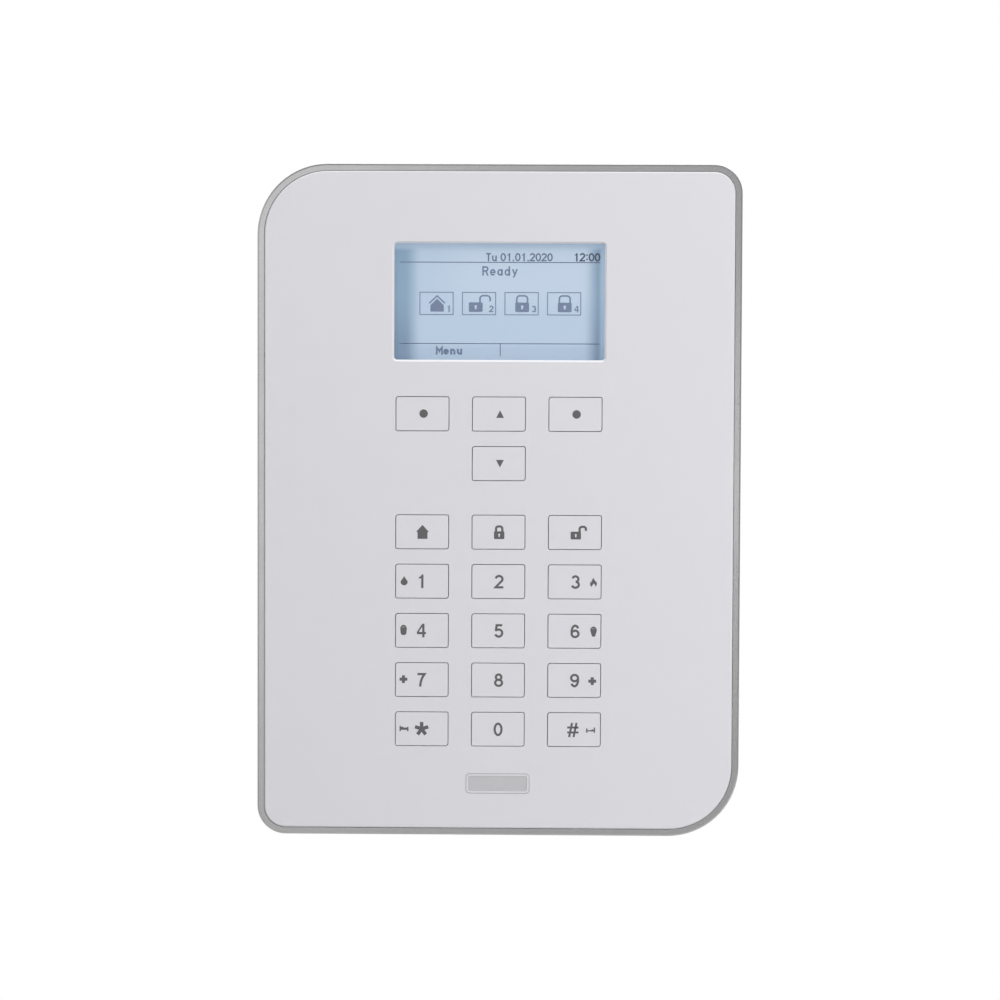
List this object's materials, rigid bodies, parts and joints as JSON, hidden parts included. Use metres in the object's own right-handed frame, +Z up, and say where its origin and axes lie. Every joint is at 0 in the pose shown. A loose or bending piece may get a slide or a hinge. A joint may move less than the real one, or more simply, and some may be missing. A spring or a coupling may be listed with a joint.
{
  "type": "alarm keypad panel",
  "caption": "Wall-mounted alarm panel: backlit display, flush number keys, silver rim with unequal corner radii, and a front cover that swings up over boards, batteries and siren.",
  "frame": {"origin": "centre of the flat back that lies on the wall", "axes": "+Z up the wall, +Y into the wall, +X to the right of someone facing the keys; the keys face -Y"},
  "size_m": [0.205, 0.05, 0.285],
  "materials": {
    "housing_white": "satin moulded white",
    "panel_white": "smooth satin white",
    "key_white": "satin white",
    "silver_rim": "fine brushed silver",
    "badge_grey": "satin pale grey",
    "clear_window": "polished clear",
    "display_blue": "lit pale blue",
    "light_guide": "milky",
    "dark_plastic": "moulded black",
    "guide_grey": "moulded grey",
    "silicone": "translucent silicone",
    "circuit_board": "green solder mask",
    "screw_steel": "zinc plated",
    "tinned_steel": "tinned sheet",
    "antenna_brass": "bare wire",
    "chip_black": "moulded epoxy",
    "capacitor_can": "sleeved can",
    "relay_blue": "moulded blue",
    "terminal_green": "moulded green",
    "socket_cream": "moulded cream",
    "wire_red": "insulated wire",
    "wire_black": "insulated wire",
    "ribbon_grey": "flat cable",
    "battery_wrap": "shrink wrap",
    "module_black": "moulded black",
    "siren_black": "moulded black",
    "speaker_black": "pressed frame",
    "black_rubber": "moulded rubber",
    "plunger_white": "moulded white"
  },
  "bodies": {
    "rear": {"rear_case": "housing_white", "cable_grommet": "black_rubber", "main_board": "circuit_board", "main_board_screws": "screw_steel", "main_socket": "dark_plastic", "ribbon_cable": "ribbon_grey", "radio_shield": "tinned_steel", "antenna_wires": "antenna_brass", "processor_chips": "chip_black", "capacitors": "capacitor_can", "relays": "relay_blue", "terminal_blocks": "terminal_green", "network_socket": "tinned_steel", "board_sockets": "socket_cream", "lead_wires_red": "wire_red", "lead_wires_black": "wire_black", "battery_left": "battery_wrap", "battery_right": "battery_wrap", "battery_straps": "guide_grey", "power_module": "module_black", "siren_sounder": "siren_black", "speaker": "speaker_black", "tamper_switches": "chip_black", "wall_tamper_spring": "screw_steel", "cover_screws": "screw_steel"},
    "cover": {"front_cover": "housing_white", "trim_frame": "silver_rim", "front_panel": "panel_white", "badge_plate": "badge_grey", "display_window": "clear_window", "display_frame": "dark_plastic", "display_glass": "display_blue", "display_backlight": "light_guide", "key_guide": "guide_grey", "keypad_mat": "silicone", "keypad_board": "circuit_board", "keypad_board_screws": "screw_steel", "keypad_board_chips": "chip_black", "keypad_socket": "dark_plastic"},
    "cover_button": {"cover_tamper_button": "socket_cream"},
    "wall_plunger": {"wall_tamper_plunger": "plunger_white"},
    "key_menu_left_body": {"key_menu_left": "key_white"},
    "key_up_body": {"key_up": "key_white"},
    "key_menu_right_body": {"key_menu_right": "key_white"},
    "key_down_body": {"key_down": "key_white"},
    "key_home_body": {"key_home": "key_white"},
    "key_lock_body": {"key_lock": "key_white"},
    "key_unlock_body": {"key_unlock": "key_white"},
    "key_1_body": {"key_1": "key_white"},
    "key_2_body": {"key_2": "key_white"},
    "key_3_body": {"key_3": "key_white"},
    "key_4_body": {"key_4": "key_white"},
    "key_5_body": {"key_5": "key_white"},
    "key_6_body": {"key_6": "key_white"},
    "key_7_body": {"key_7": "key_white"},
    "key_8_body": {"key_8": "key_white"},
    "key_9_body": {"key_9": "key_white"},
    "key_star_body": {"key_star": "key_white"},
    "key_0_body": {"key_0": "key_white"},
    "key_hash_body": {"key_hash": "key_white"}
  },
  "joints": [
    {"name": "cover_hinge", "type": "hinge", "parent": "rear", "child": "cover", "pos_m": [0, -0.02, 0.1416], "axis": [-1, 0, 0], "range_deg": [0, 60], "deforming": ["ribbon_cable"]},
    {"name": "key_menu_left_press", "type": "slide", "parent": "cover", "child": "key_menu_left_body", "axis": [0, 1, 0], "range_m": [0, 0.0008], "stiffness_N_per_m": 1500},
    {"name": "key_up_press", "type": "slide", "parent": "cover", "child": "key_up_body", "axis": [0, 1, 0], "range_m": [0, 0.0008], "stiffness_N_per_m": 1500},
    {"name": "key_menu_right_press", "type": "slide", "parent": "cover", "child": "key_menu_right_body", "axis": [0, 1, 0], "range_m": [0, 0.0008], "stiffness_N_per_m": 1500},
    {"name": "key_down_press", "type": "slide", "parent": "cover", "child": "key_down_body", "axis": [0, 1, 0], "range_m": [0, 0.0008], "stiffness_N_per_m": 1500},
    {"name": "key_home_press", "type": "slide", "parent": "cover", "child": "key_home_body", "axis": [0, 1, 0], "range_m": [0, 0.0008], "stiffness_N_per_m": 1500},
    {"name": "key_lock_press", "type": "slide", "parent": "cover", "child": "key_lock_body", "axis": [0, 1, 0], "range_m": [0, 0.0008], "stiffness_N_per_m": 1500},
    {"name": "key_unlock_press", "type": "slide", "parent": "cover", "child": "key_unlock_body", "axis": [0, 1, 0], "range_m": [0, 0.0008], "stiffness_N_per_m": 1500},
    {"name": "key_1_press", "type": "slide", "parent": "cover", "child": "key_1_body", "axis": [0, 1, 0], "range_m": [0, 0.0008], "stiffness_N_per_m": 1500},
    {"name": "key_2_press", "type": "slide", "parent": "cover", "child": "key_2_body", "axis": [0, 1, 0], "range_m": [0, 0.0008], "stiffness_N_per_m": 1500},
    {"name": "key_3_press", "type": "slide", "parent": "cover", "child": "key_3_body", "axis": [0, 1, 0], "range_m": [0, 0.0008], "stiffness_N_per_m": 1500},
    {"name": "key_4_press", "type": "slide", "parent": "cover", "child": "key_4_body", "axis": [0, 1, 0], "range_m": [0, 0.0008], "stiffness_N_per_m": 1500},
    {"name": "key_5_press", "type": "slide", "parent": "cover", "child": "key_5_body", "axis": [0, 1, 0], "range_m": [0, 0.0008], "stiffness_N_per_m": 1500},
    {"name": "key_6_press", "type": "slide", "parent": "cover", "child": "key_6_body", "axis": [0, 1, 0], "range_m": [0, 0.0008], "stiffness_N_per_m": 1500},
    {"name": "key_7_press", "type": "slide", "parent": "cover", "child": "key_7_body", "axis": [0, 1, 0], "range_m": [0, 0.0008], "stiffness_N_per_m": 1500},
    {"name": "key_8_press", "type": "slide", "parent": "cover", "child": "key_8_body", "axis": [0, 1, 0], "range_m": [0, 0.0008], "stiffness_N_per_m": 1500},
    {"name": "key_9_press", "type": "slide", "parent": "cover", "child": "key_9_body", "axis": [0, 1, 0], "range_m": [0, 0.0008], "stiffness_N_per_m": 1500},
    {"name": "key_star_press", "type": "slide", "parent": "cover", "child": "key_star_body", "axis": [0, 1, 0], "range_m": [0, 0.0008], "stiffness_N_per_m": 1500},
    {"name": "key_0_press", "type": "slide", "parent": "cover", "child": "key_0_body", "axis": [0, 1, 0], "range_m": [0, 0.0008], "stiffness_N_per_m": 1500},
    {"name": "key_hash_press", "type": "slide", "parent": "cover", "child": "key_hash_body", "axis": [0, 1, 0], "range_m": [0, 0.0008], "stiffness_N_per_m": 1500},
    {"name": "cover_button_press", "type": "slide", "parent": "rear", "child": "cover_button", "axis": [0, -1, 0], "range_m": [0, 0.0016]},
    {"name": "wall_plunger_press", "type": "slide", "parent": "rear", "child": "wall_plunger", "axis": [0, 1, 0], "range_m": [0, 0.0025], "stiffness_N_per_m": 100, "springref_m": 0.004, "deforming": ["wall_tamper_spring"]}
  ],
  "couplings": [
    {"joint": "cover_button_press", "follows": "cover_hinge", "m_per_rad": 0.00143}
  ]
}
